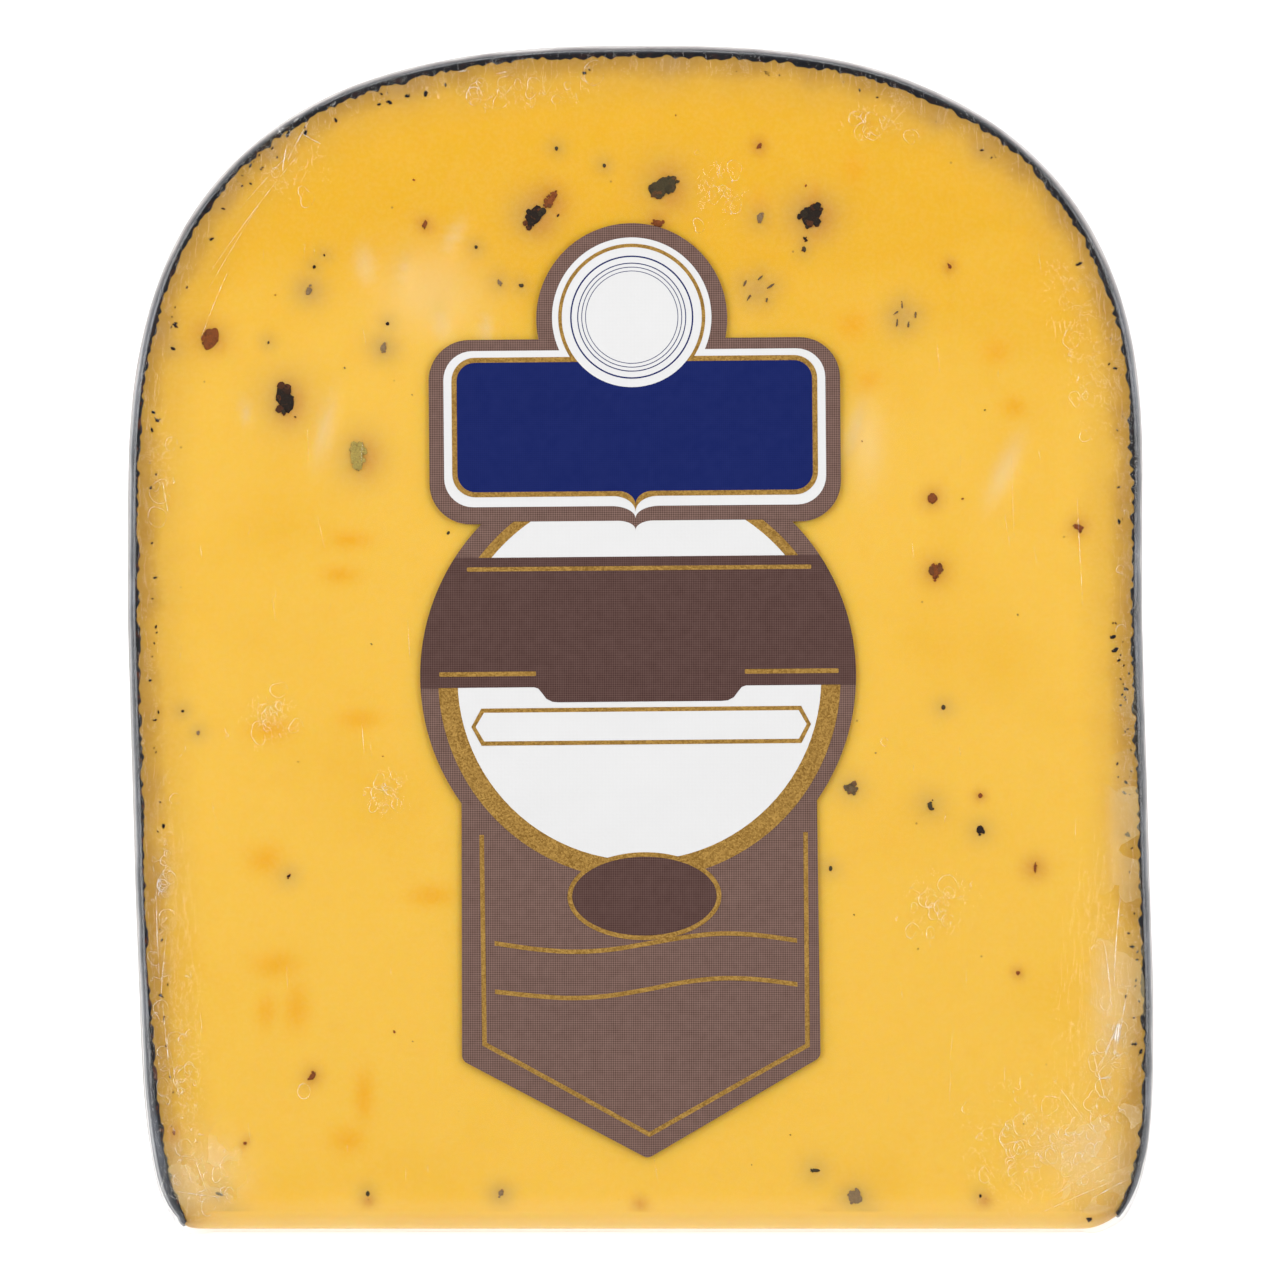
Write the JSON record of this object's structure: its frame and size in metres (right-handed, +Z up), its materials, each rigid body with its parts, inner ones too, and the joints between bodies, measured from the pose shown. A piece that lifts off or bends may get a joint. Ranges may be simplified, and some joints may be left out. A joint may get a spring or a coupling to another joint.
{
  "type": "cheese wedge",
  "caption": "Packed wedge cut from a round black-coated truffle gouda, lying on its cut face, in clear shrink film with a plain die-cut paper label.",
  "frame": {"origin": "on the surface the wedge lies on, under the middle of its bounding box", "axes": "+Y from the blunt nose at the wheel's centre out to the rim, +X across the wheel from one flat face to the other, +Z up"},
  "size_m": [0.0998, 0.1164, 0.0296],
  "materials": {
    "cheese_paste": "semi-hard yellow gouda paste, faintly translucent, satin under the film, more amber beside the rind",
    "truffle": "rough black-brown truffle shavings with crumbs and a reddish stain round them",
    "rind_coating": "black plastic cheese coating, glossy slate sheen, torn reddish-brown edge where it was cut",
    "film": "tight clear shrink film, glossy, with fine creases, lap seam on the underside",
    "label": "printed coated paper, taupe with white, navy and dark brown fields and gold foil lines, no lettering"
  },
  "bodies": {
    "root": {"cheese_paste": "cheese_paste", "rind_coating": "rind_coating", "truffle_piece_1": "truffle", "truffle_piece_2": "truffle", "truffle_piece_3": "truffle", "truffle_piece_4": "truffle", "truffle_piece_5": "truffle", "truffle_piece_6": "truffle", "truffle_piece_7": "truffle", "truffle_piece_8": "truffle", "shrink_film": "film", "front_label": "label"}
  },
  "joints": []
}
